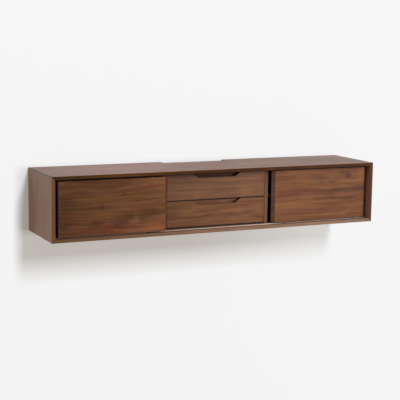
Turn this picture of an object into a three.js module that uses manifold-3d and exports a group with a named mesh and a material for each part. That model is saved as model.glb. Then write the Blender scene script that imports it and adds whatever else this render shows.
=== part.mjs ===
// Floating media console: a mitred walnut box that hangs on a wall rail, with two sliding doors on a
// twin aluminium track and two drawers on ball-bearing runners between them.
// Millimetres. +X runs to the viewer's right, +Y towards the wall and +Z up. The origin is the centre
// of the wall rail's back face, in the plane of the wall.
import * as THREE from "three";
import { mergeVertices } from "three/addons/utils/BufferGeometryUtils.js";
import Module from "manifold-3d";

const wasm = await Module();
wasm.setup();

// Box
const consoleLength = 1800;
const consoleDepth = 390;
const consoleHeight = 320;
const boardThickness = 18;

// Clearances
const seatGap = 0.25; // between pieces that are glued, screwed or laid on each other
const overrun = 5; // how far a cutter runs past the face that it opens
const runningClearance = 0.1; // radial, between an axle and its bore

// Back board and the cable space between it and the wall
const wallSpace = 45;
const backThickness = 8;
const backGrooveDepth = 6;
const cableNotchLength = 360;
const cableHoleRadius = 30;
const cableHoleRise = 55; // from the floor of the compartment to the centre of the hole

// Hanging rail on the wall and the cleats that hook over it
const railLength = 1500;
const railHeight = 60;
const railThickness = 18;
const railScrewRadius = 3;
const railScrewPitch = 240;
const railScrewsEachWay = 3;
const cleatHeight = 60;
const cleatInset = 15; // from the end of the cable notch to the end of the cleat

// Drawer bay
const drawerBayLength = 558;
const dividerThickness = 18;
const drawerRecess = 70; // from the front edge of the box to the faces of the drawers

// Shelves and their pins
const shelfThickness = 16;
const shelfEndClearance = 2;
const shelfSetback = 60;
const shelfBackClearance = 3;
const pinRadius = 2.5;
const pinFit = 0.15;
const pinCollarRadius = 4;
const pinCollarThickness = 1.5;
const pinReach = 9; // how far the shelf end rests on the pin
const pinHoleDepth = 9;
const pinHolePitch = 32;
const pinHolesEachWay = 1; // spare holes above and below the pin
const pinEdgeDistance = 35; // from the shelf's front and rear edges

// Twin tracks
const trackSetback = 5;
const trackWidth = 40;
const trackBase = 1.5;
const trackHeight = 4;
const trackRib = 2;
const floorTrackLet = 4; // how deep the floor track is let into the bottom
const trackLip = 1.5;
const headTrackHeight = 10;
const headTrackLet = 10; // how deep the head track is let into the top
const guideSlotWidth = 8;
const guideSlotDepth = 7;

// Sliding doors
const doorThickness = 16;
const doorPitch = 20; // between the two track lines
const doorFaceLength = 548;
const gripBevel = 16; // run of the slanted grip edge over the door's thickness
const fingerGap = 16; // between a closed door and the side panel
const doorFloorGap = 6;
const doorHeadGap = 6;
const fittingInset = 60; // from the door's edges to its rollers and guides

// Door rollers and their housings
const treadRadius = 6;
const treadWidth = 3;
const flangeRadius = 7.5;
const rollerWidth = 6.5;
const axleRadius = 1.5;
const housingLength = 46;
const housingWidth = 10.5;
const housingAboveAxle = 18.5;
const housingBelowAxle = 4;
const wheelWellClearance = 1;

// Door guides
const guideBodyRadius = 5;
const guideBodyLength = 14;
const guideFlangeRadius = 6.5;
const guideFlangeThickness = 1;
const guideStudRadius = 3.5;
const guideReach = 5; // how far the stud stands in the slot of the head track
const stopClearance = 0.5; // between a stud at the end of its travel and the end of the slot

// Drawers
const frontThickness = 22;
const drawerSideGap = 2;
const drawerFloorGap = 4;
const drawerSplit = 4;
const drawerHeadGap = 8;
const gripTopLength = 274;
const gripBottomLength = 206;
const gripDepth = 23;
const boxWall = 12;
const boxBackClearance = 4.75; // behind the drawer box, to the back board
const boxHeight = 100;
const boxRise = 12; // from the lower edge of the front to that of the box
const backingMargin = 15; // how far the box front runs past the grip on each side
const backingHeadGap = 3;
const trayThickness = 6;
const trayRise = 10;
const trayGrooveDepth = 5;

// Telescopic runners
const runnerSpace = 12.75; // between the divider and the side of the drawer
const runnerHeight = 45;
const runnerSteel = 1.25;
const ballGap = 0.75;
const outerChannelDepth = 10;
const channelLip = 1.5;
const middleChannelDepth = 6;
const innerChannelDepth = 8.5;
const runnerScrewRadius = 2.25;
const runnerScrewInset = 30;

// Facets of round forms
const roundSegments = 24;
const smallRoundSegments = 12;

// Planes that several pieces share, in the frame of the box: x from its middle, y from the wall, z from
// its underside
const innerHalf = consoleLength / 2 - boardThickness;
const innerFloor = boardThickness;
const innerTop = consoleHeight - boardThickness;
const backRear = -wallSpace;
const backFront = backRear - backThickness;
const bayHalf = drawerBayLength / 2;
const dividerOuter = bayHalf + dividerThickness;
const cleatTop = innerTop - seatGap;
const cleatFoot = cleatTop - cleatHeight;
const railTop = cleatFoot - seatGap;
const railFoot = railTop - railHeight;
const railWallTop = railTop - railThickness; // the bevel is at 45 degrees
const mountHeight = (railFoot + railWallTop) / 2;
const frontTrackLine = trackSetback + (trackWidth - doorPitch) / 2;
const rearTrackLine = frontTrackLine + doorPitch;
const floorTrackGroove = innerFloor - floorTrackLet;
const trackFloor = floorTrackGroove + seatGap;
const headTrackTop = innerTop + headTrackLet;
const headTrackFoot = headTrackTop - headTrackHeight;
const doorOuterEdge = innerHalf - fingerGap;
const doorFoot = innerFloor + doorFloorGap;
const doorHead = innerTop - doorHeadGap;
const doorHeight = doorHead - doorFoot;
const doorTravel = 2 * doorOuterEdge - doorFaceLength - gripBevel;
const axleHeight = trackFloor + trackHeight + seatGap + treadRadius;
const shelfFront = shelfSetback;
const shelfRear = consoleDepth + backFront - shelfBackClearance;
const shelfFoot = (innerFloor + innerTop - shelfThickness) / 2;
const pinHeight = shelfFoot - seatGap - pinRadius;
const frontHeight = (innerTop - drawerHeadGap - innerFloor - drawerFloorGap - drawerSplit) / 2;
const boxHalf = bayHalf - runnerSpace;
const boxLength = consoleDepth + backFront - drawerRecess - frontThickness - seatGap - boxBackClearance;

// Materials
const walnut = () => new THREE.MeshStandardMaterial({ color: 0x7a5237, roughness: 0.5, metalness: 0 });
const backBoard = () => new THREE.MeshStandardMaterial({ color: 0x5a3f2c, roughness: 0.65, metalness: 0 });
const birch = () => new THREE.MeshStandardMaterial({ color: 0xc9a67a, roughness: 0.6, metalness: 0 });
const aluminium = () => new THREE.MeshStandardMaterial({ color: 0x8d7a68, roughness: 0.35, metalness: 1 });
const steel = () => new THREE.MeshStandardMaterial({ color: 0x9c9ea0, roughness: 0.4, metalness: 1 });
const plastic = () => new THREE.MeshStandardMaterial({ color: 0x2a2a2c, roughness: 0.55, metalness: 0 });

// Axes that a prism can run along: each basis turns the drawing plane and keeps faces pointing out
const axisX = new THREE.Vector3(1, 0, 0);
const axisY = new THREE.Vector3(0, 1, 0);
const axisZ = new THREE.Vector3(0, 0, 1);
const runAlongX = new THREE.Matrix4().makeBasis(axisY, axisZ, axisX);
const runAlongY = new THREE.Matrix4().makeBasis(axisZ, axisX, axisY);
const quarterTurn = Math.PI / 2;

// The y of a plane that lies a distance behind the front edge of the box
function behindFront(distance) {
  return distance - consoleDepth;
}

function extruded(shape, from, to) {
  const settings = { depth: to - from, bevelEnabled: false, curveSegments: smallRoundSegments };
  return new THREE.ExtrudeGeometry(shape, settings).translate(0, 0, from);
}

function shapeOf(points) {
  return new THREE.Shape(points.map(([u, v]) => new THREE.Vector2(u, v)));
}

// A prism along X over an outline of [y, z] points
function prismX(points, from, to) {
  return extruded(shapeOf(points), from, to).applyMatrix4(runAlongX);
}

// A prism along Y over an outline of [x, z] points
function prismY(points, from, to) {
  const turned = points.map(([x, z]) => [z, x]);
  return extruded(shapeOf(turned), from, to).applyMatrix4(runAlongY);
}

// A prism along Z over an outline of [x, y] points
function prismZ(points, from, to) {
  return extruded(shapeOf(points), from, to);
}

function block(x0, x1, y0, y1, z0, z1) {
  const left = Math.min(x0, x1);
  const right = Math.max(x0, x1);
  return prismZ([[left, y0], [right, y0], [right, y1], [left, y1]], z0, z1);
}

function rod(radius, from, to, segments) {
  const length = to - from;
  return new THREE.CylinderGeometry(radius, radius, length, segments).translate(0, from + length / 2, 0);
}

// A solid of revolution about Y over [radius, y] points, which start and end on the axis
function turnedForm(points, segments) {
  return new THREE.LatheGeometry(points.map(([r, y]) => new THREE.Vector2(r, y)), segments);
}

function solidOf(geometry) {
  const bare = geometry.clone();
  bare.deleteAttribute("normal");
  bare.deleteAttribute("uv");
  const merged = mergeVertices(bare);
  const mesh = new wasm.Mesh({
    numProp: 3,
    vertProperties: merged.attributes.position.array,
    triVerts: new Uint32Array(merged.index.array),
  });
  return new wasm.Manifold(mesh);
}

function carved(geometry, cutters) {
  let body = solidOf(geometry);
  for (const cutter of cutters) body = body.subtract(solidOf(cutter));
  const made = body.getMesh();
  const result = new THREE.BufferGeometry();
  result.setAttribute("position", new THREE.BufferAttribute(made.vertProperties, 3));
  result.setIndex(new THREE.BufferAttribute(made.triVerts, 1));
  result.computeVertexNormals();
  return result;
}

function add(parent, name, geometry, material, x = 0, y = 0, z = 0) {
  const mesh = new THREE.Mesh(geometry, material());
  mesh.name = name;
  mesh.position.set(x, y, z);
  parent.add(mesh);
  return mesh;
}

function groupAt(parent, x, y, z) {
  const group = new THREE.Group();
  group.position.set(x, y, z);
  parent.add(group);
  return group;
}

function sideName(side) {
  return side < 0 ? "left" : "right";
}

// The groove for the back board, cut into the four boards round it
function backGroove() {
  const half = innerHalf + backGrooveDepth;
  return block(
    -half,
    half,
    backFront - seatGap,
    backRear + seatGap,
    innerFloor - backGrooveDepth,
    innerTop + backGrooveDepth,
  );
}

// Top or bottom board: its ends are mitred at 45 degrees, with a glue line to the side panels
function levelBoard(outerZ, innerZ) {
  const outerEnd = consoleLength / 2 - seatGap;
  const innerEnd = innerHalf - seatGap;
  const outline = [[-outerEnd, outerZ], [outerEnd, outerZ], [innerEnd, innerZ], [-innerEnd, innerZ]];
  return prismY(outline, -consoleDepth, 0);
}

// The groove that a track is let into, over its whole length
function trackGroove(foot, head) {
  return block(
    -innerHalf - overrun,
    innerHalf + overrun,
    behindFront(trackSetback) - seatGap,
    behindFront(trackSetback + trackWidth) + seatGap,
    foot,
    head,
  );
}

function topBoard() {
  const notchHalf = cableNotchLength / 2;
  const notch = block(-notchHalf, notchHalf, backRear, overrun, innerTop - overrun, consoleHeight + overrun);
  const groove = trackGroove(innerTop - overrun, headTrackTop + seatGap);
  return carved(levelBoard(consoleHeight, innerTop), [notch, groove, backGroove()]);
}

function bottomBoard() {
  const groove = trackGroove(floorTrackGroove, innerFloor + overrun);
  return carved(levelBoard(0, innerFloor), [groove, backGroove()]);
}

// A row of blind pin holes in a wall. Its face is at x = face, and inward is the way from the wall's
// face into its wood.
function pinHoles(face, inward) {
  const holes = [];
  for (const depth of [shelfFront + pinEdgeDistance, shelfRear - pinEdgeDistance]) {
    for (let step = -pinHolesEachWay; step <= pinHolesEachWay; step += 1) {
      const hole = rod(pinRadius + pinFit, -overrun, pinHoleDepth, smallRoundSegments);
      hole.rotateZ(-inward * quarterTurn);
      hole.translate(face, behindFront(depth), pinHeight + step * pinHolePitch);
      holes.push(hole);
    }
  }
  return holes;
}

function sidePanel(side) {
  const outer = (side * consoleLength) / 2;
  const inner = side * innerHalf;
  const outline = [[outer, 0], [outer, consoleHeight], [inner, innerTop], [inner, innerFloor]];
  return carved(prismY(outline, -consoleDepth, 0), [backGroove(), ...pinHoles(inner, side)]);
}

function divider(side) {
  const board = block(
    side * bayHalf,
    side * dividerOuter,
    behindFront(drawerRecess),
    backFront - seatGap,
    innerFloor + seatGap,
    innerTop - seatGap,
  );
  return carved(board, pinHoles(side * dividerOuter, -side));
}

function backPanel() {
  const reach = backGrooveDepth - seatGap;
  const board = block(
    -innerHalf - reach,
    innerHalf + reach,
    backFront,
    backRear,
    innerFloor - reach,
    innerTop + reach,
  );
  const holes = [-1, 1].map((side) => {
    const hole = rod(cableHoleRadius, backFront - overrun, backRear + overrun, roundSegments);
    const middle = (innerHalf + dividerOuter) / 2;
    return hole.translate(side * middle, 0, innerFloor + cableHoleRise);
  });
  return carved(board, holes);
}

// The cleat fills the cable space under the top and hooks over the bevelled edge of the wall rail
function cleat(side) {
  const outline = [
    [backRear + seatGap, cleatTop],
    [-seatGap, cleatTop],
    [-seatGap, railWallTop + 2 * seatGap],
    [-railThickness, cleatFoot],
    [backRear + seatGap, cleatFoot],
  ];
  const inner = cableNotchLength / 2 + cleatInset;
  const outer = innerHalf - seatGap;
  return side < 0 ? prismX(outline, -outer, -inner) : prismX(outline, inner, outer);
}

// The rail has its screw holes on the middle line of its wall face, none of them at its centre
function wallRail() {
  const outline = [[0, railFoot], [0, railWallTop], [-railThickness, railTop], [-railThickness, railFoot]];
  const holes = [];
  for (let step = 1; step <= railScrewsEachWay; step += 1) {
    for (const side of [-1, 1]) {
      const hole = rod(railScrewRadius, -railThickness - overrun, overrun, smallRoundSegments);
      holes.push(hole.translate(side * step * railScrewPitch, 0, mountHeight));
    }
  }
  return carved(prismX(outline, -railLength / 2, railLength / 2), holes);
}

// Floor track: a flat base with a lip along each edge and a rib under each door
function floorTrack() {
  const front = behindFront(trackSetback);
  const rear = front + trackWidth;
  const ribs = [frontTrackLine, rearTrackLine].map(behindFront);
  const outline = [[front, 0], [front, trackHeight]];
  outline.push([front + trackLip, trackHeight], [front + trackLip, trackBase]);
  for (const line of ribs) {
    outline.push([line - trackRib / 2, trackBase], [line - trackRib / 2, trackHeight]);
    outline.push([line + trackRib / 2, trackHeight], [line + trackRib / 2, trackBase]);
  }
  outline.push([rear - trackLip, trackBase], [rear - trackLip, trackHeight], [rear, trackHeight], [rear, 0]);
  return prismX(outline, -innerHalf + seatGap, innerHalf - seatGap);
}

// Head track: a bar with a blind slot over each door. The closed slot ends stop the doors' guides.
function headTrack() {
  const front = behindFront(trackSetback);
  const end = innerHalf - seatGap;
  const bar = block(-end, end, front, front + trackWidth, headTrackFoot, headTrackTop);
  const reach = guideStudRadius + stopClearance;
  const restEnd = doorOuterEdge - fittingInset + reach;
  const farEnd = doorTravel - (doorOuterEdge - doorFaceLength + fittingInset) + reach;
  const slots = [[-1, frontTrackLine], [1, rearTrackLine]].map(([side, line]) => {
    const from = Math.min(side * restEnd, -side * farEnd);
    const to = Math.max(side * restEnd, -side * farEnd);
    return guideSlot(from, to, behindFront(line));
  });
  return carved(bar, slots);
}

function guideSlot(from, to, y) {
  const radius = guideSlotWidth / 2;
  const shape = new THREE.Shape();
  shape.absarc(to - radius, y, radius, -quarterTurn, quarterTurn, false);
  shape.absarc(from + radius, y, radius, quarterTurn, 3 * quarterTurn, false);
  shape.closePath();
  return extruded(shape, headTrackFoot - overrun, headTrackFoot + guideSlotDepth);
}

function shelf(side) {
  return block(
    side * (dividerOuter + shelfEndClearance),
    side * (innerHalf - shelfEndClearance),
    behindFront(shelfFront),
    behindFront(shelfRear),
    shelfFoot,
    shelfFoot + shelfThickness,
  );
}

// A shelf pin, turned about Y with its stem below zero and its resting stub above
function shelfPin() {
  const stem = pinHoleDepth - seatGap;
  const collarEnd = seatGap + pinCollarThickness;
  return turnedForm(
    [
      [0, -stem],
      [pinRadius, -stem],
      [pinRadius, seatGap],
      [pinCollarRadius, seatGap],
      [pinCollarRadius, collarEnd],
      [pinRadius, collarEnd],
      [pinRadius, pinReach],
      [0, pinReach],
    ],
    smallRoundSegments,
  );
}

function addShelf(parent, side) {
  const name = sideName(side);
  add(parent, `${name}_shelf`, shelf(side), walnut);
  const depths = { front: shelfFront + pinEdgeDistance, back: shelfRear - pinEdgeDistance };
  const walls = { outer: { face: innerHalf, out: -side }, inner: { face: dividerOuter, out: side } };
  for (const [wall, { face, out }] of Object.entries(walls)) {
    for (const [place, depth] of Object.entries(depths)) {
      const pinName = `${name}_shelf_pin_${wall}_${place}`;
      const pin = add(parent, pinName, shelfPin(), steel, side * face, behindFront(depth), pinHeight);
      pin.rotation.z = -out * quarterTurn;
    }
  }
}

// Door panel, with x from its outer edge, y from its middle and z from its foot. The edge towards the
// drawers is slanted, so its back corner stands out as a grip.
function doorPanel(side, places) {
  const half = doorThickness / 2;
  const outline = [
    [0, -half],
    [-side * doorFaceLength, -half],
    [-side * (doorFaceLength + gripBevel), half],
    [0, half],
  ];
  const housingTop = axleHeight + housingAboveAxle - doorFoot;
  const cutters = [];
  for (const place of places) {
    const pocketHalf = housingLength / 2 + seatGap;
    const pocketWall = housingWidth / 2 + seatGap;
    cutters.push(
      block(place - pocketHalf, place + pocketHalf, -pocketWall, pocketWall, -overrun, housingTop + seatGap),
    );
    const boreFoot = doorHeight - guideBodyLength - seatGap;
    const bore = rod(guideBodyRadius + seatGap, boreFoot, doorHeight + overrun, roundSegments);
    cutters.push(bore.rotateX(quarterTurn).translate(place, 0, 0));
  }
  return carved(prismZ(outline, 0, doorHeight), cutters);
}

// Roller housing, with its origin on the axle: two cheeks round an open wheel well
function rollerHousing() {
  const half = housingLength / 2;
  const wall = housingWidth / 2;
  const body = block(-half, half, -wall, wall, -housingBelowAxle, housingAboveAxle);
  const wellHalf = flangeRadius + wheelWellClearance;
  const wellWall = rollerWidth / 2 + seatGap;
  const well = block(-wellHalf, wellHalf, -wellWall, wellWall, -housingBelowAxle - overrun, wellHalf);
  const bore = rod(axleRadius + runningClearance, -wall - overrun, wall + overrun, roundSegments);
  return carved(body, [well, bore]);
}

// Grooved roller with its axle stubs, turned about Y
function roller() {
  const axleEnd = housingWidth / 2;
  const wheel = rollerWidth / 2;
  const tread = treadWidth / 2;
  const chamfer = flangeRadius - treadRadius;
  return turnedForm(
    [
      [0, -axleEnd],
      [axleRadius, -axleEnd],
      [axleRadius, -wheel],
      [flangeRadius - chamfer / 2, -wheel],
      [flangeRadius, -wheel + chamfer / 2],
      [flangeRadius, -tread - chamfer / 4],
      [treadRadius, -tread],
      [treadRadius, tread],
      [flangeRadius, tread + chamfer / 4],
      [flangeRadius, wheel - chamfer / 2],
      [flangeRadius - chamfer / 2, wheel],
      [axleRadius, wheel],
      [axleRadius, axleEnd],
      [0, axleEnd],
    ],
    roundSegments,
  );
}

// Door guide, turned about Y with zero at the door's head: body below, flange and stud above
function doorGuide() {
  const flangeTop = seatGap + guideFlangeThickness;
  const studTop = headTrackFoot - doorHead + guideReach;
  const nose = guideStudRadius / 3;
  return turnedForm(
    [
      [0, -guideBodyLength],
      [guideBodyRadius, -guideBodyLength],
      [guideBodyRadius, seatGap],
      [guideFlangeRadius, seatGap],
      [guideFlangeRadius, flangeTop],
      [guideStudRadius, flangeTop],
      [guideStudRadius, studTop - nose],
      [guideStudRadius - nose, studTop],
      [0, studTop],
    ],
    roundSegments,
  );
}

function addDoor(parent, side, trackLine) {
  const name = `${sideName(side)}_door`;
  const places = { outer: -side * fittingInset, inner: -side * (doorFaceLength - fittingInset) };
  const door = groupAt(parent, side * doorOuterEdge, behindFront(trackLine), doorFoot);
  add(door, `${name}_panel`, doorPanel(side, Object.values(places)), walnut);
  for (const [place, x] of Object.entries(places)) {
    const axle = groupAt(door, x, 0, axleHeight - doorFoot);
    add(axle, `${name}_roller_housing_${place}`, rollerHousing(), plastic);
    add(axle, `${name}_roller_${place}`, roller(), plastic);
    const guide = add(door, `${name}_guide_${place}`, doorGuide(), plastic, x, 0, doorHeight);
    guide.rotation.x = quarterTurn;
  }
}

// Drawer front, with x from its middle, y from its face and z from its foot. A trapezoid grip is cut
// into its upper edge.
function drawerFront() {
  const half = bayHalf - drawerSideGap;
  const outline = [
    [-half, 0],
    [half, 0],
    [half, frontHeight],
    [gripTopLength / 2, frontHeight],
    [gripBottomLength / 2, frontHeight - gripDepth],
    [-gripBottomLength / 2, frontHeight - gripDepth],
    [-gripTopLength / 2, frontHeight],
    [-half, frontHeight],
  ];
  return prismY(outline, 0, frontThickness);
}

// Box front: its middle stands up behind the grip
function boxFront() {
  const half = boxHalf - boxWall - seatGap;
  const backingHalf = gripTopLength / 2 + backingMargin;
  const backingTop = frontHeight - boxRise - backingHeadGap;
  const outline = [
    [-half, 0],
    [half, 0],
    [half, boxHeight],
    [backingHalf, boxHeight],
    [backingHalf, backingTop],
    [-backingHalf, backingTop],
    [-backingHalf, boxHeight],
    [-half, boxHeight],
  ];
  const groove = trayGroove(-half - overrun, half + overrun, boxWall - trayGrooveDepth, boxWall + overrun);
  return carved(prismY(outline, 0, boxWall), [groove]);
}

function trayGroove(x0, x1, y0, y1) {
  return block(x0, x1, y0, y1, trayRise - seatGap, trayRise + trayThickness + seatGap);
}

function boxSide(side) {
  const inner = boxHalf - boxWall;
  const board = block(side * inner, side * boxHalf, 0, boxLength, 0, boxHeight);
  const grooveEnds = [side * (inner - overrun), side * (inner + trayGrooveDepth)];
  return carved(board, [trayGroove(...grooveEnds, -overrun, boxLength + overrun)]);
}

function boxBack() {
  const half = boxHalf - boxWall - seatGap;
  const foot = trayRise + trayThickness + seatGap;
  return block(-half, half, boxLength - boxWall, boxLength, foot, boxHeight);
}

function boxTray() {
  const half = boxHalf - boxWall + trayGrooveDepth - seatGap;
  const front = boxWall - trayGrooveDepth + seatGap;
  return block(-half, half, front, boxLength, trayRise, trayRise + trayThickness);
}

// A folded steel channel over [u, z] points, where u is measured from the divider. The web stands at
// near and the flanges run from it to far, each ending in a lip if there is one.
function channelOutline(near, far, halfHeight, lip) {
  const wall = Math.sign(far - near) * runnerSteel;
  const inside = halfHeight - runnerSteel;
  const plainEnd = [[far, -inside]];
  const lippedEnd = [[far, lip - inside], [far - wall, lip - inside], [far - wall, -inside]];
  const lowerLip = lip > 0 ? lippedEnd : plainEnd;
  const upperLip = lowerLip.map(([u, z]) => [u, -z]).reverse();
  return [
    [near, -halfHeight],
    [far, -halfHeight],
    ...lowerLip,
    [near + wall, -inside],
    [near + wall, inside],
    ...upperLip,
    [far, halfHeight],
    [near, halfHeight],
  ];
}

function runnerMember(side, outline, webs) {
  const channel = prismY(outline.map(([u, z]) => [-side * u, z]), 0, boxLength);
  const holes = [runnerScrewInset, boxLength - runnerScrewInset].flatMap((y) =>
    webs.map((u) => {
      const hole = rod(runnerScrewRadius, -overrun, overrun, smallRoundSegments);
      return hole.rotateZ(quarterTurn).translate(-side * u, y, 0);
    }),
  );
  return carved(channel, holes);
}

// Telescopic runner: the outer member is screwed to the divider, the inner one to the drawer
function addRunner(parent, drawerName, side) {
  const runner = groupAt(parent, side * bayHalf, frontThickness + seatGap, boxRise + boxHeight / 2);
  const outerHalf = runnerHeight / 2;
  const middleHalf = outerHalf - runnerSteel - ballGap;
  const innerHalfHeight = middleHalf - runnerSteel - ballGap;
  const middleNear = seatGap + runnerSteel + ballGap;
  const innerNear = runnerSpace - seatGap;
  const members = {
    outer: channelOutline(seatGap, outerChannelDepth, outerHalf, channelLip),
    middle: channelOutline(middleNear, middleNear + middleChannelDepth, middleHalf, 0),
    inner: channelOutline(innerNear, innerNear - innerChannelDepth, innerHalfHeight, channelLip),
  };
  const webs = { outer: [seatGap], middle: [], inner: [innerNear] };
  for (const [member, outline] of Object.entries(members)) {
    const name = `${drawerName}_runner_${sideName(side)}_${member}`;
    add(runner, name, runnerMember(side, outline, webs[member]), steel);
  }
}

function addDrawer(parent, name, foot) {
  const drawer = groupAt(parent, 0, behindFront(drawerRecess), foot);
  add(drawer, `${name}_front`, drawerFront(), walnut);
  const box = groupAt(drawer, 0, frontThickness + seatGap, boxRise);
  add(box, `${name}_box_front`, boxFront(), walnut);
  add(box, `${name}_box_back`, boxBack(), birch);
  add(box, `${name}_tray`, boxTray(), birch);
  for (const side of [-1, 1]) {
    add(box, `${name}_box_side_${sideName(side)}`, boxSide(side), birch);
    addRunner(drawer, name, side);
  }
}

const mediaConsole = new THREE.Group();
const box = groupAt(mediaConsole, 0, 0, -mountHeight);
add(box, "top_panel", topBoard(), walnut);
add(box, "bottom_panel", bottomBoard(), walnut);
add(box, "back_panel", backPanel(), backBoard);
add(box, "wall_rail", wallRail(), birch);
add(box, "floor_track", floorTrack(), aluminium, 0, 0, trackFloor);
add(box, "head_track", headTrack(), aluminium);
for (const side of [-1, 1]) {
  add(box, `${sideName(side)}_side_panel`, sidePanel(side), walnut);
  add(box, `${sideName(side)}_divider`, divider(side), walnut);
  add(box, `${sideName(side)}_hanging_cleat`, cleat(side), birch);
  addShelf(box, side);
}
addDoor(box, -1, frontTrackLine);
addDoor(box, 1, rearTrackLine);
addDrawer(box, "lower_drawer", innerFloor + drawerFloorGap);
addDrawer(box, "upper_drawer", innerFloor + drawerFloorGap + frontHeight + drawerSplit);

export default mediaConsole;
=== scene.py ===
"""Looks of the floating media console: walnut veneer, anodised tracks, zinc-plated runners and birch
drawer boxes, before a white wall and floor."""
import math

import bmesh
import bpy
from mathutils import Matrix, Vector


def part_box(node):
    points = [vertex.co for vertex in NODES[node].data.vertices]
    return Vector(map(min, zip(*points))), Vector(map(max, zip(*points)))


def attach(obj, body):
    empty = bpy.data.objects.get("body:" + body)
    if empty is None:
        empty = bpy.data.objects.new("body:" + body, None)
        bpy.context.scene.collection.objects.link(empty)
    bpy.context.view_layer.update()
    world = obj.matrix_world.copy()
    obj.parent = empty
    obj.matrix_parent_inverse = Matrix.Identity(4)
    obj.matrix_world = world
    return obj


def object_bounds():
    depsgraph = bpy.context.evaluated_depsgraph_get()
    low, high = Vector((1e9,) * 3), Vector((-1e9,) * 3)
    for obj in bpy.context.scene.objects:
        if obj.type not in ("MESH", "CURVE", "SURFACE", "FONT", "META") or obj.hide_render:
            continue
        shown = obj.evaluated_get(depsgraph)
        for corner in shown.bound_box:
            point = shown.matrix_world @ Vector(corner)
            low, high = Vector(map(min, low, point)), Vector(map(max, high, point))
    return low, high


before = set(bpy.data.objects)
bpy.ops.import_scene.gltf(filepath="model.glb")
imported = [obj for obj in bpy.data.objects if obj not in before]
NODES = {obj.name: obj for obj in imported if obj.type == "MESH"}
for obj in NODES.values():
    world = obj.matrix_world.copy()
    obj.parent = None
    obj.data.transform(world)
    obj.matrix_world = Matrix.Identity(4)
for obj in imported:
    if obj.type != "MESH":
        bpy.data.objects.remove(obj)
cad_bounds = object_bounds()
SIDES = ("left", "right")
DRAWERS = ("upper", "lower")
HALF_LENGTH = 0.9  # of the console, along x
BOARD = 0.018  # thickness of its boards
TRACK_MIDDLE = -0.365  # y between the front rail of the tracks and the rear one

# Camera: fitted to the corners of the box in the photograph, which is 400 pixels wide
CAMERA_PLACE = Vector((-2.4389, -5.3361, 0.8054))
CAMERA_YAW = math.radians(25.053)  # from +Y towards +X
CAMERA_PITCH = math.radians(-8.724)
CAMERA_ROLL = math.radians(0.774)
CAMERA_REACH = 100.0
FOCAL_PIXELS = 1100.6
PHOTO_WIDTH = 400
SENSOR_WIDTH = 36.0

# Stage: a wall that runs down into the floor through a cove
WALL_GAP = 0.0006
WALL_HEIGHT = 6.0
FLOOR_LEVEL = -1.95
COVE_RADIUS = 0.6
COVE_STEPS = 24
STAGE_REACH = 9.0
STAGE_WHITE = 0.9216  # what the lit wall shows, as linear light
STAGE_DIFFUSE = 0.10

# Light on the object: an even white surround, a low sun, and a lamp at the right, at the left and above
WORLD_STRENGTH = 0.38
KEY_STRENGTH = 1.1
KEY_AZIMUTH = math.radians(10)  # to the right of straight on
KEY_ELEVATION = math.radians(18)
KEY_SPREAD = math.radians(20)
KEY_DISTANCE = 4.0  # where the sun's handle stands, which doesn't change its light
OBJECT_LAMPS = (  # name, power, place, target, width and height
    ("fill", 48.0, (2.6, -2.4, 0.5), (0.4, -0.2, 0.0), (1.8, 1.8)),
    ("side", 25.0, (-3.4, -0.4, 0.5), (-0.6, -0.2, 0.0), (1.4, 1.4)),
    ("overhead", 26.0, (-0.5, -0.5, 2.2), (0.0, -0.2, 0.0), (3.0, 1.2)),
)

# Lamps that light the stage alone and give it the object's shadow: azimuth and elevation in degrees,
# width and height as shares of their distance, the light that each shadow takes from the wall, and its
# tint. The first is a little cool, so that its shadow is warm.
SHADOW_LAMPS = (
    (6.5, 27.6, 0.135, 0.297, 0.415, (0.93, 1.0, 1.08)),
    (7.0, 0.8, 0.110, 0.150, 0.165, (1.0, 1.0, 1.0)),
)
SHADOW_LAMP_DISTANCE = 40.0
SHADOW_DEPTH = (-0.1, 1.0, 1.03, 0.62)  # two places in x, and the share of the shadow that stays at each


def set_up_camera():
    """The photograph's camera, with no shift and no depth of field."""
    forward = Vector((
        math.sin(CAMERA_YAW) * math.cos(CAMERA_PITCH),
        math.cos(CAMERA_YAW) * math.cos(CAMERA_PITCH),
        math.sin(CAMERA_PITCH),
    ))
    level = Vector((math.cos(CAMERA_YAW), -math.sin(CAMERA_YAW), 0.0))
    upright = level.cross(forward)
    right = math.cos(CAMERA_ROLL) * level + math.sin(CAMERA_ROLL) * upright
    up = math.cos(CAMERA_ROLL) * upright - math.sin(CAMERA_ROLL) * level
    camera = bpy.data.objects.new("camera", bpy.data.cameras.new("camera"))
    camera.data.sensor_width = SENSOR_WIDTH
    camera.data.lens = FOCAL_PIXELS * SENSOR_WIDTH / PHOTO_WIDTH
    camera.data.clip_end = CAMERA_REACH
    turn = Matrix((right, up, -forward)).transposed()
    camera.matrix_world = Matrix.Translation(CAMERA_PLACE) @ turn.to_4x4()
    bpy.context.scene.collection.objects.link(camera)
    bpy.context.scene.camera = camera


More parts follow.
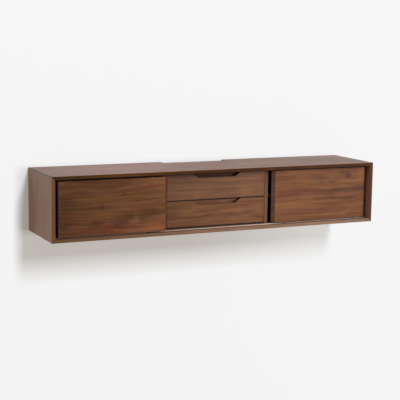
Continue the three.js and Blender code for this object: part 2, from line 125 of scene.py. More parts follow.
class Graph:
    """A material's node tree, with short calls for the nodes that the finishes use."""

    def __init__(self, name):
        self.material = bpy.data.materials.new(name)
        self.material.use_nodes = True
        self.tree = self.material.node_tree
        self.tree.nodes.clear()

    def node(self, kind, inputs=None, **settings):
        made = self.tree.nodes.new(kind)
        for key, value in settings.items():
            setattr(made, key, value)
        for key, value in (inputs or {}).items():
            self.feed(made.inputs[key], value)
        return made

    def feed(self, socket, value):
        if isinstance(value, bpy.types.NodeSocket):
            self.tree.links.new(value, socket)
        else:
            socket.default_value = value

    def math(self, operation, *values, clamp=False):
        made = self.node("ShaderNodeMath", operation=operation, use_clamp=clamp)
        for socket, value in zip(made.inputs, values):
            self.feed(socket, value)
        return made.outputs[0]

    def vector_math(self, operation, *values):
        made = self.node("ShaderNodeVectorMath", operation=operation)
        for socket, value in zip(made.inputs, values):
            self.feed(socket, value)
        return made.outputs["Value" if operation == "LENGTH" else "Vector"]

    def here(self):
        """The place on the piece, in its own coordinates."""
        return self.node("ShaderNodeTexCoord").outputs["Object"]

    def split(self, vector):
        return self.node("ShaderNodeSeparateXYZ", {"Vector": vector}).outputs

    def join(self, x=0.0, y=0.0, z=0.0):
        return self.node("ShaderNodeCombineXYZ", {"X": x, "Y": y, "Z": z}).outputs[0]

    def scaled(self, vector, factor):
        made = self.node("ShaderNodeVectorMath", {0: vector, "Scale": factor}, operation="SCALE")
        return made.outputs[0]

    def place(self, vector, shift=(0, 0, 0), scale=(1, 1, 1)):
        made = self.node("ShaderNodeMapping", {"Vector": vector, "Location": shift, "Scale": scale})
        return made.outputs[0]

    def noise(self, vector, scale, detail=2.0, roughness=0.5, distortion=0.0):
        inputs = {"Vector": vector, "Scale": scale, "Detail": detail, "Roughness": roughness}
        inputs["Distortion"] = distortion
        return self.node("ShaderNodeTexNoise", inputs).outputs["Fac"]

    def grained(self, vector, along, across, shift=(0, 0, 0), scale=1.0, **settings):
        """A noise that is stretched along the first axis: how fine it is along it and across it."""
        return self.noise(self.place(vector, shift, (along, across, across)), scale, **settings)

    def ramp(self, value, low, high, to_low=0.0, to_high=1.0, smooth=False):
        made = self.node(
            "ShaderNodeMapRange",
            {"Value": value, "From Min": low, "From Max": high, "To Min": to_low, "To Max": to_high},
            interpolation_type="SMOOTHSTEP" if smooth else "LINEAR",
        )
        return made.outputs[0]

    def mix(self, factor, a, b):
        made = self.node("ShaderNodeMix", data_type="RGBA")
        for number, value in ((0, factor), (6, a), (7, b)):  # the factor and the two colours
            self.feed(made.inputs[number], value)
        return made.outputs[2]

    def bump(self, height, strength, distance):
        inputs = {"Strength": strength, "Distance": distance, "Height": height}
        return self.node("ShaderNodeBump", inputs).outputs[0]

    def painted(self, base, roughness, normal, more=None):
        """Ends the tree in a principled shader, with more of its inputs by name, and gives the material."""
        inputs = {"Base Color": base, "Roughness": roughness, "Normal": normal, **(more or {})}
        return self.finish(self.node("ShaderNodeBsdfPrincipled", inputs).outputs[0])

    def finish(self, shader):
        self.node("ShaderNodeOutputMaterial", {"Surface": shader})
        return self.material


def colour(red, green, blue):
    """A linear colour from the 0 to 255 values of a screen colour."""
    def linear(value):
        share = value / 255
        return share / 12.92 if share <= 0.04045 else ((share + 0.055) / 1.055) ** 2.4
    return (linear(red), linear(green), linear(blue), 1.0)


# Walnut: sapwood, heartwood, dark late wood, and the ochre and red that drift through it
WALNUT_PALE = colour(148, 102, 72)
WALNUT_LIGHT = colour(134, 88, 58)
WALNUT_MID = colour(112, 71, 45)
WALNUT_DARK = colour(70, 41, 28)
WALNUT_OCHRE = colour(116, 78, 40)
WALNUT_RED = colour(116, 65, 45)
GRAIN_AXES = {"x": (0, 1, 2), "z": (2, 0, 1)}  # the axis along the grain first
LEAF_STEP = (3.1, 1.7, 0.9)  # how far one step of seed moves the figure
SWAY = 0.045  # the width within which the grain sways
RIM_SWAY = 0.6  # the share of it with which the rims of knots and stains wander
FIGURE_LINES = 13.0  # contour lines in the whole height of the figure
LINE_SHARPNESS = 1.8
TURNED = (0.3, 0.6)  # the part of a normal on an axis from which its face counts as turned there, and fully
TURNED_FRONT = (-0.8, -0.5, 1.0, 0.0)  # the same on y, where the front is at -1: from fully to not at all
FACE_ROUGHNESS = (0.36, 0.48)
SAWN_ROUGHNESS = 0.5  # how much rougher the dark faces are that end_tone and up_shade give


def spot(g, place, x, z, reach_x, reach_z):
    """A soft round patch on a front, from 1 at its middle to 0 at its rim."""
    offset = g.vector_math("SUBTRACT", place, (x, 0.0, z))
    scaled = g.vector_math("MULTIPLY", offset, (1 / reach_x, 0.0, 1 / reach_z))
    return g.ramp(g.vector_math("LENGTH", scaled), 0.0, 1.0, 1.0, 0.0, smooth=True)


def even(tone):
    """The tone of an edge band that is the same all along."""
    return ((-HALF_LENGTH, tone), (HALF_LENGTH, tone))


def walnut_leaf(g, place, parts, grain, seed, contrast, knots, stains_and_shadow):
    """The colour of a leaf of walnut, its streaks and the relief of its pores. The figure lies in contour
    lines of a stretched noise, and each knot raises a hill in it, round which the lines close."""
    board = g.join(*(parts[axis] for axis in GRAIN_AXES[grain]))
    board = g.place(board, shift=tuple(seed * step for step in LEAF_STEP))
    sway = g.math("SUBTRACT", g.grained(board, 2.0, 3.0, scale=1.7, detail=3.0), 0.5)
    drift = g.math("MULTIPLY", sway, SWAY)
    drift = g.join(y=drift, z=drift)
    swayed = g.vector_math("ADD", board, drift)
    wander = g.vector_math("ADD", place, g.vector_math("MULTIPLY", drift, (0.0, 0.0, RIM_SWAY)))
    height = g.math("MULTIPLY", g.grained(swayed, 0.7, 9.0, detail=3.0), FIGURE_LINES)
    for x, z, reach_along, reach_across, rise in knots:
        near = spot(g, wander, x, z, reach_along, reach_across)
        height = g.math("ADD", height, g.math("MULTIPLY", near, rise))
    wave = g.math("MULTIPLY_ADD", g.math("SINE", g.math("MULTIPLY", height, math.tau)), 0.5, 0.5)
    lines = g.math("POWER", wave, LINE_SHARPNESS)
    streaks = g.grained(swayed, 1.8, 70.0, detail=4.0, roughness=0.6)
    fibres = g.grained(swayed, 14.0, 700.0, detail=3.0, roughness=0.7)
    broad = g.grained(swayed, 1.6, 7.0, scale=1.3, detail=3.0)
    hue = g.grained(swayed, 1.6, 16.0, shift=(4.0, 2.0, 7.0), scale=1.2)
    pores = g.ramp(g.grained(board, 55.0, 1500.0, detail=1.0), 0.62, 0.74)
    half = 0.5 * contrast
    base = g.mix(g.ramp(broad, 0.3, 0.7, 0.5 - half, 0.5 + half), WALNUT_MID, WALNUT_LIGHT)
    layers = (  # value, from where to where in it, the share of the layer at the two, colour
        (hue, 0.52, 0.72, 0.0, 0.8 * contrast, WALNUT_OCHRE),
        (hue, 0.28, 0.48, 0.8 * contrast, 0.0, WALNUT_RED),
        (lines, 0.0, 1.0, 0.0, 0.24 * contrast, WALNUT_DARK),
        (streaks, 0.5, 0.75, 0.0, 0.6 * contrast, WALNUT_DARK),
        (streaks, 0.28, 0.48, 0.6 * contrast, 0.0, WALNUT_PALE),
        (fibres, 0.35, 0.75, 0.0, 0.22, WALNUT_DARK),
        (pores, 0.0, 1.0, 0.0, 0.5, WALNUT_DARK),
    )
    for value, low, high, low_share, high_share, layer in layers:
        base = g.mix(g.ramp(value, low, high, low_share, high_share), base, layer)
    for x, z, reach_x, reach_z, stain, strength in stains_and_shadow:
        near = spot(g, wander, x, z, reach_x, reach_z)
        base = g.mix(g.math("MULTIPLY", near, strength), base, stain)
    relief = g.math("SUBTRACT", g.math("MULTIPLY", fibres, 0.4), pores)
    return base, streaks, relief


def walnut(name, grain="x", seed=0.0, tint=(1.0, 1.0, 1.0), contrast=1.0, knots=(), stains_and_shadow=(),
           end_tone=(0.6, 0.6, 0.6), end_reach=1.0, up_shade=(1.0, -1.0), edge_tone=even((1.0, 1.0, 1.0)),
           light_fade=(1.0, 1.0), seams_and_gap_shade=(), gloss=0.14, sheen=0.1):
    """Walnut veneer. Knots are (x, z, reach along the grain, reach across, height) and stains are (x, z,
    reach in x, reach in z, colour, strength), in metres; on the upper drawer one of them is a painted
    shadow.
    The front edge of a board has its own tone, given at two x, which on some boards is painted light or
    shade.
    Fade is a painted fall of light along x: the tone at the two ends of the box. End_tone is that of the
    faces across the grain that are nearer than end_reach to the middle, and up_shade, painted shade, that
    of the faces that look up, above its z. Seams are dark lines along an edge, (axis, place on it, width,
    strength): some are dark joints and some are painted shade in a gap beside the edge."""
    g = Graph(name)
    place = g.here()
    parts = g.split(place)
    base, streaks, relief = walnut_leaf(g, place, parts, grain, seed, contrast, knots, stains_and_shadow)
    for axis, level, width, strength in seams_and_gap_shade:
        gap = g.math("ABSOLUTE", g.math("SUBTRACT", parts[axis], level))
        base = g.scaled(base, g.ramp(gap, width, 2 * width, 1.0 - strength, 1.0))
    base = g.vector_math("MULTIPLY", base, tint)
    base = g.scaled(base, g.ramp(parts[0], cad_bounds[0][0], cad_bounds[1][0], *light_fade))
    facing = g.split(g.node("ShaderNodeNewGeometry").outputs["True Normal"])
    up_share, up_level = up_shade
    above = g.math("GREATER_THAN", parts[2], up_level)
    upward = g.math("MULTIPLY", g.ramp(facing[2], *TURNED), above)
    base = g.scaled(base, g.ramp(upward, 0.0, 1.0, 1.0, up_share))
    endwise = g.ramp(g.math("ABSOLUTE", facing[GRAIN_AXES[grain][0]]), *TURNED)
    nearer = g.math("LESS_THAN", g.math("ABSOLUTE", parts[0]), end_reach)
    base = g.mix(g.math("MULTIPLY", endwise, nearer), base, g.vector_math("MULTIPLY", base, end_tone))
    (near_x, near_tone), (far_x, far_tone) = edge_tone
    band = g.mix(g.ramp(parts[0], near_x, far_x), (*near_tone, 1.0), (*far_tone, 1.0))
    frontal = g.ramp(facing[1], *TURNED_FRONT)
    base = g.mix(frontal, base, g.vector_math("MULTIPLY", base, band))
    sawn = g.math("MAXIMUM", endwise, upward) if up_share < 1.0 else endwise
    roughness = g.math("MULTIPLY_ADD", sawn, SAWN_ROUGHNESS, g.ramp(streaks, 0.2, 0.8, *FACE_ROUGHNESS))
    more = {"Specular IOR Level": gloss, "Sheen Weight": sheen, "Sheen Roughness": 0.3}
    return g.painted(base, roughness, g.bump(relief, strength=0.25, distance=0.0004), more)


def plain_wood(name, colours, seed):
    """Birch or stained board in a light and a dark colour, with straight grain along x and soft bands."""
    light, dark = colours
    g = Graph(name)
    board = g.place(g.here(), shift=(seed, seed * 2.3, seed * 0.7))
    bands = g.grained(board, 1.4, 26.0, detail=3.0, distortion=0.3)
    fibres = g.grained(board, 16.0, 620.0, detail=3.0, roughness=0.7)
    base = g.mix(g.ramp(bands, 0.35, 0.7), light, dark)
    base = g.mix(g.ramp(fibres, 0.4, 0.75, 0.0, 0.35), base, dark)
    bump = g.bump(fibres, strength=0.2, distance=0.0003)
    return g.painted(base, g.ramp(bands, 0.3, 0.7, 0.48, 0.6), bump)


def metal(name, colours, brushed, roughness, metallic=1.0, front=None, fades=(), gloss=0.5):
    """Plated metal in a light and a dark colour with fine lines along its length, or with less of metallic
    a matt anodised one. Fades change its tone along x, on the track partly as painted shade: (from x, to x,
    from tone, to tone). Where front is given, the part in front of its y is painted in its own two colours."""
    g = Graph(name)
    place = g.here()
    parts = g.split(place)
    lines = g.noise(g.place(place, scale=brushed), 1.0, detail=3.0, roughness=0.6)
    smudge = g.noise(place, 9.0, detail=3.0)
    shade = g.ramp(lines, 0.3, 0.7)
    base = g.mix(shade, *colours)
    for light_fade in fades:
        base = g.scaled(base, g.ramp(parts[0], *light_fade))
    if front:
        front_y, *front_colours = front
        nearer = g.math("LESS_THAN", parts[1], front_y)
        base = g.mix(nearer, base, g.mix(shade, *front_colours))
        metallic = g.ramp(nearer, 0.0, 1.0, metallic, 0.0)
    rough = g.ramp(smudge, 0.3, 0.7, roughness - 0.05, roughness + 0.08)
    bump = g.bump(lines, strength=0.12, distance=0.0002)
    return g.painted(base, rough, bump, {"Metallic": metallic, "Specular IOR Level": gloss})


def nylon(name):
    """Moulded dark nylon with a fine spark-eroded grain."""
    g = Graph(name)
    place = g.here()
    grain = g.noise(place, 2600.0)
    cloud = g.noise(place, 60.0)
    base = g.mix(cloud, colour(34, 34, 36), colour(46, 46, 48))
    bump = g.bump(grain, strength=0.3, distance=0.0001)
    return g.painted(base, g.ramp(cloud, 0.3, 0.7, 0.45, 0.6), bump)


# Rounded edges, with their width on panels, inner boards and thin boards
WELD_DISTANCE = 0.00002
EDGE_ANGLE = math.radians(32)  # sharper edges than this are rounded
EDGE_SEGMENTS = 2
PANEL_EDGE = 0.0006
INNER_EDGE = 0.0005
THIN_EDGE = 0.0004


def soften_edges(node, width):
    """Joins the faces of a CAD node and rounds its sharp edges a little."""
    weld = node.modifiers.new("weld", "WELD")
    weld.merge_threshold = WELD_DISTANCE
    bevel = node.modifiers.new("edge", "BEVEL")
    bevel.width = width
    bevel.segments = EDGE_SEGMENTS
    bevel.limit_method = "ANGLE"
    bevel.angle_limit = EDGE_ANGLE
    bevel.use_clamp_overlap = True
    bevel.harden_normals = False


def dress(names, material, edge=None):
    """Gives CAD nodes their one material and, where an edge width is given, softened edges."""
    for name in names:
        node = NODES[name]
        node.data.materials.clear()
        node.data.materials.append(material)
        if edge:
            soften_edges(node, edge)


# Marks of the veneer leaves that show in the photograph, at their places on the doors and drawers;
# the upper drawer's first mark is a painted shadow
SMOKE = colour(62, 38, 36)
SMOKE_GREEN = colour(60, 42, 30)
ROSE = colour(94, 56, 52)
OLIVE = colour(126, 85, 44)
AMBER = colour(156, 98, 58)
LEFT_DOOR_KNOTS = (
    (-0.400, -0.095, 0.110, 0.055, 1.3),
    (-0.535, -0.120, 0.085, 0.040, 1.0),
    (-0.675, -0.124, 0.060, 0.030, 0.8),
    (-0.358, 0.008, 0.050, 0.026, 1.0),
)
LEFT_DOOR_STAINS = (
    (-0.395, -0.090, 0.080, 0.046, SMOKE_GREEN, 0.42),
    (-0.432, -0.118, 0.050, 0.036, SMOKE_GREEN, 0.35),
    (-0.340, -0.078, 0.080, 0.018, SMOKE, 0.40),
    (-0.540, -0.122, 0.080, 0.040, SMOKE, 0.50),
    (-0.500, -0.098, 0.044, 0.018, SMOKE, 0.45),
    (-0.675, -0.124, 0.066, 0.026, SMOKE_GREEN, 0.50),
    (-0.838, -0.131, 0.064, 0.028, SMOKE, 0.50),
    (-0.825, 0.004, 0.080, 0.030, SMOKE, 0.35),
    (-0.820, -0.040, 0.090, 0.070, SMOKE_GREEN, 0.15),
    (-0.647, -0.040, 0.022, 0.026, SMOKE_GREEN, 0.45),
    (-0.530, 0.016, 0.026, 0.014, SMOKE, 0.50),
    (-0.358, 0.008, 0.044, 0.026, colour(104, 80, 60), 0.50),
    (-0.420, 0.040, 0.110, 0.030, ROSE, 0.45),
    (-0.400, 0.056, 0.180, 0.005, AMBER, 0.40),
    (-0.690, 0.000, 0.140, 0.012, OLIVE, 0.60),
    (-0.450, 0.004, 0.140, 0.012, OLIVE, 0.40),
    (-0.370, -0.150, 0.100, 0.028, AMBER, 0.42),
)
RIGHT_DOOR_KNOTS = (
    (0.760, 0.050, 0.050, 0.026, 1.0),
    (0.541, 0.004, 0.060, 0.036, 1.3),
    (0.590, 0.030, 0.070, 0.030, 1.2),
)
RIGHT_DOOR_STAINS = (
    (0.560, -0.034, 0.200, 0.034, SMOKE, 0.30),
    (0.770, -0.030, 0.220, 0.040, SMOKE, 0.40),
    (0.690, -0.022, 0.070, 0.022, SMOKE_GREEN, 0.50),
    (0.845, -0.018, 0.090, 0.026, SMOKE_GREEN, 0.40),
    (0.670, -0.064, 0.150, 0.009, SMOKE, 0.50),
    (0.775, -0.070, 0.120, 0.018, SMOKE_GREEN, 0.45),
    (0.400, -0.046, 0.150, 0.016, ROSE, 0.35),
    (0.500, -0.124, 0.210, 0.024, ROSE, 0.50),
    (0.450, -0.100, 0.250, 0.022, OLIVE, 0.50),
    (0.762, 0.050, 0.036, 0.026, SMOKE, 0.60),
    (0.735, 0.067, 0.046, 0.014, SMOKE, 0.40),
    (0.592, 0.040, 0.050, 0.018, SMOKE, 0.35),
    (0.670, 0.018, 0.040, 0.014, SMOKE_GREEN, 0.35),
    (0.490, 0.045, 0.080, 0.050, AMBER, 0.25),
    (0.320, 0.030, 0.030, 0.180, colour(116, 92, 76), 0.28),
    (0.852, 0.060, 0.046, 0.070, AMBER, 0.40),
)
UPPER_DRAWER_STAINS_AND_SHADOW = (
    # A painted shadow of the top panel's front edge, across the top of the upper drawer front.
    (0.000, 0.095, 2.500, 0.022, colour(70, 48, 46), 0.60),
    (0.020, 0.038, 0.260, 0.022, SMOKE_GREEN, 0.35),
    (0.020, 0.002, 0.150, 0.016, SMOKE, 0.30),
    (0.165, -0.012, 0.080, 0.034, AMBER, 0.32),
    (-0.240, 0.060, 0.100, 0.060, SMOKE_GREEN, 0.25),
    (0.262, 0.010, 0.036, 0.070, colour(112, 86, 78), 0.28),
)
LOWER_DRAWER_STAINS = (
    (-0.240, -0.090, 0.070, 0.070, SMOKE_GREEN, 0.25),
    (0.090, -0.111, 0.110, 0.011, AMBER, 0.50),
    (0.100, -0.132, 0.090, 0.018, ROSE, 0.45),
    (0.185, -0.122, 0.060, 0.012, SMOKE, 0.50),
    (0.228, -0.140, 0.050, 0.020, SMOKE, 0.30),
    (0.095, -0.156, 0.130, 0.008, AMBER, 0.40),
    (-0.170, -0.110, 0.070, 0.018, OLIVE, 0.45),
)
TOP_STAINS = ((-0.50, 0.117, 0.42, 0.20, colour(150, 103, 94), 0.5),)
BOTTOM_STAINS = ((0.86, -0.200, 0.34, 0.30, colour(92, 60, 42), 0.6),)
# The dark upward faces are painted shade.
DRAWER_LOOKS = (  # drawer, stains, tint, gloss, the z above which its upward faces are dark
    ("upper", UPPER_DRAWER_STAINS_AND_SHADOW, (0.98, 1.0, 0.96), 0.24, 0.08),
    ("lower", LOWER_DRAWER_STAINS, (1.0, 1.04, 1.08), 0.12, -0.055),
)

# Light and dark colours of the other finishes
STAINED = (colour(104, 76, 56), colour(82, 58, 42))
BIRCH = (colour(214, 186, 146), colour(190, 156, 112))
ANODISED = (colour(216, 193, 177), colour(198, 175, 160))
ANODISED_BROWN = (colour(88, 48, 26), colour(74, 40, 22))
BRONZE = (colour(70, 52, 38), colour(54, 40, 30))
STEEL = (colour(186, 188, 190), colour(160, 163, 166))
ZINC = (colour(150, 148, 144), colour(118, 116, 112))
# Tones of the rear rail along x: darker towards the left, and painted shade where the right door stands
# over it.
TRACK_SHADE_FADES = ((-0.3, 0.27, 0.70, 1.08), (0.30, 0.36, 1.0, 0.64))  # of the rear rail


def dress_box():
    """The carcass, its shelves, the rail and cleats it hangs on, and the tracks."""
    top_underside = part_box("top_panel")[1].z - BOARD
    top = walnut(
        "walnut_top", seed=1.3, tint=(0.9, 0.9, 0.9), contrast=1.4, stains_and_shadow=TOP_STAINS,
        edge_tone=((-HALF_LENGTH, (0.42, 0.35, 0.078)), (HALF_LENGTH, (0.31, 0.18, 0.018))),
        # Painted light and shade: the fade makes the top lighter to the right as a fall of light, and the
        # second dark line, along the top's underside, is painted shade in the gap above the doors; the
        # first is the dark mitre joint at the left end.
        light_fade=(0.95, 1.2), seams_and_gap_shade=((0, cad_bounds[0][0], 0.004, 0.95), (2, top_underside, 0.0018, 0.8)),
        gloss=0.1, sheen=0.09,
    )
    bottom = walnut(
        # Painted shade and sheen: its upward faces, the floor of the bays, are painted darker as shade, and
        # its front edge is painted paler and greyer towards the right as a sheen.
        "walnut_bottom", seed=2.9, contrast=0.6, stains_and_shadow=BOTTOM_STAINS, up_shade=(0.4, -1.0),
        edge_tone=((-HALF_LENGTH, (0.70, 0.85, 0.75)), (0.28, (1.5, 2.05, 3.0))),
    )
    left = walnut(
        "walnut_left_side", grain="z", seed=2.1, tint=(1.0, 1.05, 1.06), contrast=0.6,
        edge_tone=even((0.96, 0.83, 0.66)), seams_and_gap_shade=((2, cad_bounds[1][2], 0.0025, 0.75),), gloss=0.2,
    )
    right = walnut(
        # Painted light: a paler, greyer walnut, so that the inner face in the narrow gap beside the right
        # door looks lit; the much darker edge tone brings its front edge back below the plain walnut.
        "walnut_right_side", grain="z", seed=6.1, tint=(1.6, 1.8, 2.4), contrast=0.5,
        edge_tone=even((0.25, 0.17, 0.10)),
    )
    panels = {"top_panel": top, "bottom_panel": bottom, "left_side_panel": left, "right_side_panel": right}
    for name, material in panels.items():
        dress([name], material, edge=PANEL_EDGE)
    # The right divider's front edge is painted paler and greyer, as painted light in its recess beside the
    # drawers.
    for side, seed, tone in (("left", 3.6, (0.81, 0.82, 0.88)), ("right", 3.9, (1.5, 1.85, 2.5))):
        upright = walnut(f"walnut_{side}_divider", grain="z", seed=seed, contrast=0.7, edge_tone=even(tone))
        dress([f"{side}_divider"], upright, edge=INNER_EDGE)
    shelf = walnut("walnut_shelf", seed=4.4, tint=(0.7, 0.7, 0.7), edge_tone=even((0.4, 0.4, 0.4)))
    dress([f"{side}_shelf" for side in SIDES], shelf, edge=INNER_EDGE)
    dress(["back_panel"], plain_wood("stained_board", STAINED, seed=0.6))
    hangers = ["wall_rail", "left_hanging_cleat", "right_hanging_cleat"]
    dress(hangers, plain_wood("birch", BIRCH, seed=1.1), edge=PANEL_EDGE)
    track = metal(
        "anodised_track", ANODISED, (2.0, 900.0, 900.0), 0.5, metallic=0.3,
        front=(TRACK_MIDDLE, *ANODISED_BROWN), fades=TRACK_SHADE_FADES, gloss=0.03,
    )
    dress(["floor_track", "head_track"], track)
    pin = metal("bronze_pin", BRONZE, (300.0, 300.0, 300.0), 0.5)
    places = [f"{wall}_{place}" for wall in ("outer", "inner") for place in ("front", "back")]
    dress([f"{side}_shelf_pin_{place}" for side in SIDES for place in places], pin)


def dress_doors():
    """The two doors with their rollers, housings and guides."""
    # Painted shade on the doors' upward faces.
    edges = {"end_tone": (0.8, 0.87, 1.1), "up_shade": (0.2, -1.0)}
    left = walnut(
        # Painted light and shade: the left door's fade darkens it towards the left as a fall of light, and
        # its dark line along the top edge is painted shade in the gap under the top panel.
        "walnut_left_door", seed=5.2, knots=LEFT_DOOR_KNOTS, stains_and_shadow=LEFT_DOOR_STAINS, light_fade=(0.56, 2.0),
        seams_and_gap_shade=((2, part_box("left_door_panel")[1].z, 0.0012, 0.7),), gloss=0.05, sheen=0.0, **edges,
    )
    right = walnut(
        "walnut_right_door", seed=7.7, knots=RIGHT_DOOR_KNOTS, stains_and_shadow=RIGHT_DOOR_STAINS, light_fade=(1.04, 0.98),
        tint=(1.1, 1.1, 1.14), gloss=0.08, sheen=0.0, **edges,
    )
    dress(["left_door_panel"], left, edge=PANEL_EDGE)
    dress(["right_door_panel"], right, edge=PANEL_EDGE)
    fittings = [
        f"{side}_door_{part}_{place}"
        for side in SIDES for place in ("outer", "inner") for part in ("roller_housing", "roller", "guide")
    ]
    dress(fittings, nylon("nylon"))


def dress_drawers():
    """The two drawers and their runners. The upper box front is painted dark, as painted shade in the upper
    grip.
    """
    fronts = {}
    for drawer, stains_and_shadow, tint, gloss, up_level in DRAWER_LOOKS:
        fronts[drawer] = walnut(
            f"walnut_{drawer}_drawer", seed=9.4, tint=tint, contrast=0.9, stains_and_shadow=stains_and_shadow,
            # Painted shade: the grips' end faces almost black, the upward faces above the given z dark, and
            # a dark line along the bottom edge; the fade is a painted fall of light, darker towards the
            # left.
            end_tone=(0.08, 0.08, 0.08), end_reach=0.2, up_shade=(0.5, up_level), light_fade=(0.72, 1.38),
            seams_and_gap_shade=((2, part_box(f"{drawer}_drawer_front")[0].z, 0.0018, 0.8),), gloss=gloss,
        )
    # Painted shade: a darker copy of the walnut, for the shade under the top panel in the upper grip.
    shaded = walnut(
        "walnut_upper_box_front_painted_shade", seed=9.9, tint=(0.44, 0.36, 0.30), contrast=0.5, end_tone=(0.3, 0.3, 0.3),
    )
    box_fronts = {"upper": shaded, "lower": fronts["lower"]}
    birch = plain_wood("birch_level", BIRCH, seed=3.0)
    steel = metal("zinc_steel", STEEL, (900.0, 3.0, 900.0), 0.38)
    for drawer in DRAWERS:
        dress([f"{drawer}_drawer_front"], fronts[drawer], edge=PANEL_EDGE)
        dress([f"{drawer}_drawer_box_front"], box_fronts[drawer], edge=THIN_EDGE)
        boards = ["box_back", "tray"] + [f"box_side_{side}" for side in SIDES]
        dress([f"{drawer}_drawer_{board}" for board in boards], birch, edge=THIN_EDGE)
        members = [f"{side}_{member}" for side in SIDES for member in ("outer", "middle", "inner")]
        dress([f"{drawer}_drawer_runner_{member}" for member in members], steel)


SCREW_HEAD = (  # radius, height, six-sided: a domed head with a hexagon socket
    (0.0032, 0.0, False),
    (0.0032, 0.0005, False),
    (0.0028, 0.0010, False),
    (0.0020, 0.0013, False),
    (0.0016, 0.0013, True),
    (0.0016, 0.0005, True),
)
GROMMET = (  # radius, height, six-sided: a sleeve with a flange on each side of the back panel
    (0.0282, -0.0014, False),
    (0.0338, -0.0014, False),
    (0.0344, -0.0009, False),
    (0.0344, -0.0001, False),
    (0.0296, -0.0001, False),
    (0.0296, 0.0081, False),
    (0.0344, 0.0081, False),
    (0.0344, 0.0089, False),
    (0.0338, 0.0094, False),
    (0.0282, 0.0094, False),
)
TURN_SEGMENTS = 36
SMOOTH_ANGLE = math.radians(35)
CABLE_HOLES = (-0.5895, 0.5895)
CABLE_HOLE_Z = -0.1295
FLOOR_SCREWS = (-0.730, -0.438, -0.146, 0.146, 0.438, 0.730)
FLOOR_SCREW_RISE = 0.0015  # the base of the floor track above its underside
DRAWER_SCREWS = (-0.150, 0.150)


def add_turned(form, rings, at, loop=False):
    """Adds a turned form about the z axis of at: rings of (radius, height, six-sided) in one band that is
    closed by two faces, or into a loop."""
    rows = []
    for radius, height, six_sided in rings:
        row = []
        for step in range(TURN_SEGMENTS):
            angle = math.tau * step / TURN_SEGMENTS
            reach = radius
            if six_sided:
                reach *= math.cos(math.pi / 6) / math.cos(angle % (math.pi / 3) - math.pi / 6)
            point = Vector((reach * math.cos(angle), reach * math.sin(angle), height))
            row.append(form.verts.new(at @ point))
        rows.append(row)
    bands = list(zip(rows, rows[1:]))
    if loop:
        bands.append((rows[-1], rows[0]))
    else:
        form.faces.new(list(reversed(rows[0])))
        form.faces.new(rows[-1])
    for low, high in bands:
        for step in range(TURN_SEGMENTS):
            after = (step + 1) % TURN_SEGMENTS
            form.faces.new((low[step], low[after], high[after], high[step]))


def add_piece(name, form, material, body):
    """Makes a piece of a form, smooth but for its sharp edges, that moves with a body."""
    mesh = bpy.data.meshes.new(name)
    bmesh.ops.recalc_face_normals(form, faces=form.faces)
    form.to_mesh(mesh)
    form.free()
    mesh.polygons.foreach_set("use_smooth", [True] * len(mesh.polygons))
    mesh.set_sharp_from_angle(angle=SMOOTH_ANGLE)
    mesh.materials.append(material)
    piece = bpy.data.objects.new(name, mesh)
    bpy.context.scene.collection.objects.link(piece)
    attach(piece, body)
    return piece


def add_hardware():
    """Cable grommets in the back panel, and the screws of the floor track and of the drawer fronts."""
    backwards = Matrix.Rotation(-math.pi / 2, 4, "X")  # turns up into the way from the front to the wall
    zinc = metal("zinc_screw", ZINC, (400.0, 400.0, 400.0), 0.35)
    back_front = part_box("back_panel")[0].y
    grommets = bmesh.new()
    for x in CABLE_HOLES:
        place = Matrix.Translation((x, back_front, CABLE_HOLE_Z))
        add_turned(grommets, GROMMET, place @ backwards, loop=True)
    pieces = [add_piece("cable_grommets", grommets, nylon("grommet_nylon"), "box")]
    track_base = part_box("floor_track")[0].z + FLOOR_SCREW_RISE
    screws = bmesh.new()
    for x in FLOOR_SCREWS:
        add_turned(screws, SCREW_HEAD, Matrix.Translation((x, TRACK_MIDDLE, track_base)))
    pieces.append(add_piece("floor_track_screws", screws, zinc, "box"))
    for drawer in DRAWERS:
        low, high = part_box(f"{drawer}_drawer_box_front")
        screws = bmesh.new()
        for x in DRAWER_SCREWS:
            place = Matrix.Translation((x, high.y, (low.z + high.z) / 2))
            add_turned(screws, SCREW_HEAD, place @ backwards)
        pieces.append(add_piece(f"{drawer}_drawer_screws", screws, zinc, f"{drawer}_drawer"))
    return pieces


def stage_material(name):
    """White stage. It shows to the camera and in gloss from its front only, so that light reaches every
    side of the object and views from behind and below see it too. Part of what it shows is its own light,
    so that a shadow on it stays pale, and the shadow's depth changes along x."""
    g = Graph(name)
    path = g.node("ShaderNodeLightPath")
    seen = g.math("ADD", path.outputs["Is Camera Ray"], path.outputs["Is Glossy Ray"], clamp=True)
    seen = g.math("ADD", seen, path.outputs["Is Transmission Ray"], clamp=True)
    behind = g.node("ShaderNodeNewGeometry").outputs["Backfacing"]
    seen = g.math("MULTIPLY", seen, g.math("SUBTRACT", 1.0, behind))
    given = [STAGE_DIFFUSE * WORLD_STRENGTH] * 3  # what the surround and the lamps add to its own light
    for *_, taken, tint in SHADOW_LAMPS:
        given = [so_far + taken * share for so_far, share in zip(given, tint)]
    depth = g.ramp(g.split(g.here())[0], *SHADOW_DEPTH, smooth=True)
    own_light = g.vector_math("SUBTRACT", (STAGE_WHITE,) * 3, g.scaled(given, depth))
    white = g.node("ShaderNodeBsdfDiffuse", {"Color": g.scaled((STAGE_DIFFUSE,) * 3, depth)}).outputs[0]
    glow = g.node("ShaderNodeEmission", {"Color": own_light, "Strength": 1.0}).outputs[0]
    both = g.node("ShaderNodeAddShader", {0: white, 1: glow}).outputs[0]
    clear = g.node("ShaderNodeBsdfTransparent").outputs[0]
    shader = g.node("ShaderNodeMixShader", {0: seen, 1: clear, 2: both}).outputs[0]
    return g.finish(shader)


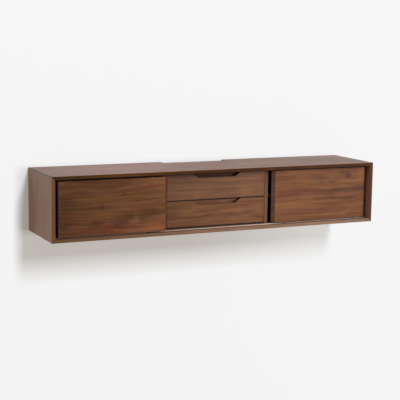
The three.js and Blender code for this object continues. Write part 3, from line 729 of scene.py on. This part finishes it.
def add_stage():
    """The wall and the floor in one sheet, joined by a round cove."""
    profile = [(WALL_GAP, WALL_HEIGHT)]
    for step in range(COVE_STEPS + 1):
        turn = math.pi / 2 * step / COVE_STEPS
        y = WALL_GAP - COVE_RADIUS * (1 - math.cos(turn))
        z = FLOOR_LEVEL + COVE_RADIUS * (1 - math.sin(turn))
        profile.append((y, z))
    profile.append((-STAGE_REACH, FLOOR_LEVEL))
    mesh = bpy.data.meshes.new("backdrop")
    points = [(x, y, z) for y, z in profile for x in (-STAGE_REACH, STAGE_REACH)]
    faces = [(2 * i, 2 * i + 2, 2 * i + 3, 2 * i + 1) for i in range(len(profile) - 1)]
    mesh.from_pydata(points, [], faces)
    mesh.polygons.foreach_set("use_smooth", [True] * len(faces))
    mesh.materials.append(stage_material("stage_white"))
    sheet = bpy.data.objects.new("backdrop", mesh)
    bpy.context.scene.collection.objects.link(sheet)
    return sheet


def direction(azimuth, elevation):
    """The way from the object to a lamp: azimuth is from straight on towards the right."""
    return Vector((
        math.sin(azimuth) * math.cos(elevation),
        -math.cos(azimuth) * math.cos(elevation),
        math.sin(elevation),
    ))


def add_lamp(name, kind, energy, place, target, receivers, size=None):
    """A lamp that lights only its receivers. Everything still casts a shadow in its light."""
    lamp = bpy.data.lights.new(name, kind)
    lamp.energy = energy
    if size:
        lamp.shape = "RECTANGLE"
        lamp.size, lamp.size_y = size
    holder = bpy.data.objects.new(name, lamp)
    holder.location = place
    holder.rotation_euler = (Vector(target) - Vector(place)).to_track_quat("-Z", "Y").to_euler()
    holder.light_linking.receiver_collection = receivers
    bpy.context.scene.collection.objects.link(holder)
    return lamp


def collect(name, members):
    collection = bpy.data.collections.new(name)
    for member in members:
        collection.objects.link(member)
    return collection


def surround():
    """An even white world, which the camera sees in the wall's white."""
    world = bpy.data.worlds.new("surround")
    world.use_nodes = True
    nodes, links = world.node_tree.nodes, world.node_tree.links
    seen = nodes.new("ShaderNodeLightPath").outputs["Is Camera Ray"]
    strength = nodes.new("ShaderNodeMath")
    strength.operation = "MULTIPLY_ADD"
    links.new(seen, strength.inputs[0])
    strength.inputs[1].default_value = STAGE_WHITE - WORLD_STRENGTH
    strength.inputs[2].default_value = WORLD_STRENGTH
    nodes["Background"].inputs["Color"].default_value = (1.0, 1.0, 1.0, 1.0)
    links.new(strength.outputs[0], nodes["Background"].inputs["Strength"])
    return world


def light_scene(sheet, pieces):
    """The object's lamps light its nodes and the added pieces, and the far lamps light the stage alone."""
    centre = (0.0, 0.0, 0.0)
    lit = collect("lit_object", list(NODES.values()) + pieces)
    key_place = KEY_DISTANCE * direction(KEY_AZIMUTH, KEY_ELEVATION)
    key = add_lamp("key", "SUN", KEY_STRENGTH, key_place, centre, lit)
    key.angle = KEY_SPREAD
    for name, power, place, target, size in OBJECT_LAMPS:
        add_lamp(name, "AREA", power, place, target, lit, size=size)
    stage = collect("lit_stage", [sheet])
    for number, (azimuth, elevation, width, height, taken, tint) in enumerate(SHADOW_LAMPS):
        towards = direction(math.radians(azimuth), math.radians(elevation))
        straight = -towards.y  # the cosine at which its light meets the wall
        energy = taken / STAGE_DIFFUSE / straight * (math.pi * SHADOW_LAMP_DISTANCE) ** 2
        size = (width * SHADOW_LAMP_DISTANCE, height * SHADOW_LAMP_DISTANCE)
        place = SHADOW_LAMP_DISTANCE * towards
        lamp = add_lamp(f"wall_lamp_{number + 1}", "AREA", energy, place, centre, stage, size=size)
        lamp.color = tint
    bpy.context.scene.world = surround()
    bpy.context.scene.view_settings.view_transform = "Standard"


set_up_camera()
dress_box()
dress_doors()
dress_drawers()
light_scene(add_stage(), add_hardware())
